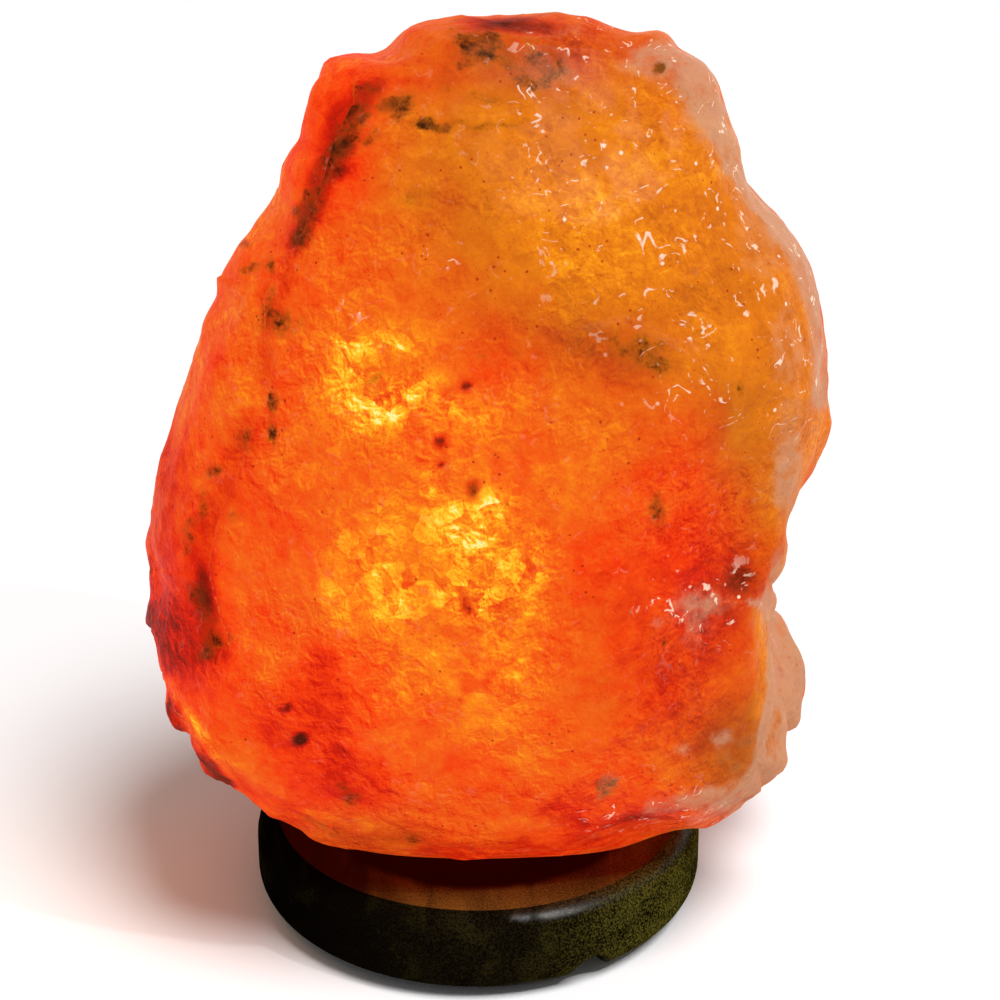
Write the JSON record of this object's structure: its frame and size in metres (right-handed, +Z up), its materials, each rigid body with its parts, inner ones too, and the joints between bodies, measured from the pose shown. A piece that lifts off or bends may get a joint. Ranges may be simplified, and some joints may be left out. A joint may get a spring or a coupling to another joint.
{
  "type": "salt crystal lamp",
  "caption": "Hewn salt crystal lit from inside by a small bulb, screwed to a round wooden base that a sprung lampholder is pushed into from below.",
  "frame": {"origin": "on the bench, under the middle of the crystal and the base", "axes": "+Z up through the base, the bulb and the crystal; front of the crystal towards -Y; its broad face runs along X"},
  "size_m": [0.1721, 0.1261, 0.23],
  "materials": {
    "salt": "hewn translucent rock salt, orange to pink, with chipped waxy facets",
    "stained_wood": "dark stained and oiled turned wood",
    "pad": "soft black pads",
    "zinc_steel": "bright zinc-plated steel",
    "spring_steel": "rolled spring steel strip",
    "nylon": "grey moulded nylon",
    "phenolic": "black moulded shell, satin",
    "porcelain": "white unglazed porcelain",
    "brass": "drawn brass, bright",
    "nickel_cap": "thin bright pressed metal",
    "solder": "dull domed solder",
    "insulating_glass": "black vitrified glass",
    "clear_glass": "clear blown glass",
    "wire": "drawn nickel wire",
    "filament": "coiled tungsten wire, glowing"
  },
  "bodies": {
    "lampholder": {"holder_plate": "zinc_steel", "threaded_nipple": "zinc_steel", "plate_locknut": "zinc_steel", "socket_cap": "phenolic", "socket_sleeve": "phenolic", "contact_block": "porcelain", "terminal_screws": "zinc_steel", "screw_shell": "brass", "centre_contact": "brass"},
    "lamp_body": {"salt_crystal": "salt", "wood_base": "stained_wood", "base_screws": "zinc_steel", "wall_plugs": "nylon", "base_feet": "pad"},
    "bulb": {"bulb_screw_cap": "nickel_cap", "bulb_insulator": "insulating_glass", "bulb_foot_contact": "solder", "bulb_glass": "clear_glass", "bulb_stem": "clear_glass", "bulb_lead_wires": "wire", "filament_supports": "wire", "bulb_filament": "filament"},
    "spring_clip_1": {"spring_clip_1": "spring_steel"},
    "spring_clip_2": {"spring_clip_2": "spring_steel"},
    "spring_clip_3": {"spring_clip_3": "spring_steel"}
  },
  "joints": [
    {"name": "holder_release", "type": "slide", "parent": "lampholder", "child": "lamp_body", "axis": [0, 0, 1], "range_m": [0, 0.12]},
    {"name": "bulb_unscrew", "type": "hinge", "parent": "lampholder", "child": "bulb", "pos_m": [0, 0, 0.05], "axis": [0, 0, 1], "range_deg": [0, 1440]},
    {"name": "clip_1_flex", "type": "hinge", "parent": "lampholder", "child": "spring_clip_1", "pos_m": [0.01659, 0.00958, 0.009], "axis": [0.5, -0.866, 0], "range_deg": [0, 5], "stiffness_Nm_per_rad": 1.5},
    {"name": "clip_2_flex", "type": "hinge", "parent": "lampholder", "child": "spring_clip_2", "pos_m": [-0.01659, 0.00958, 0.009], "axis": [0.5, 0.866, 0], "range_deg": [0, 5], "stiffness_Nm_per_rad": 1.5},
    {"name": "clip_3_flex", "type": "hinge", "parent": "lampholder", "child": "spring_clip_3", "pos_m": [0, -0.01916, 0.009], "axis": [-1, 0, 0], "range_deg": [0, 5], "stiffness_Nm_per_rad": 1.5}
  ]
}
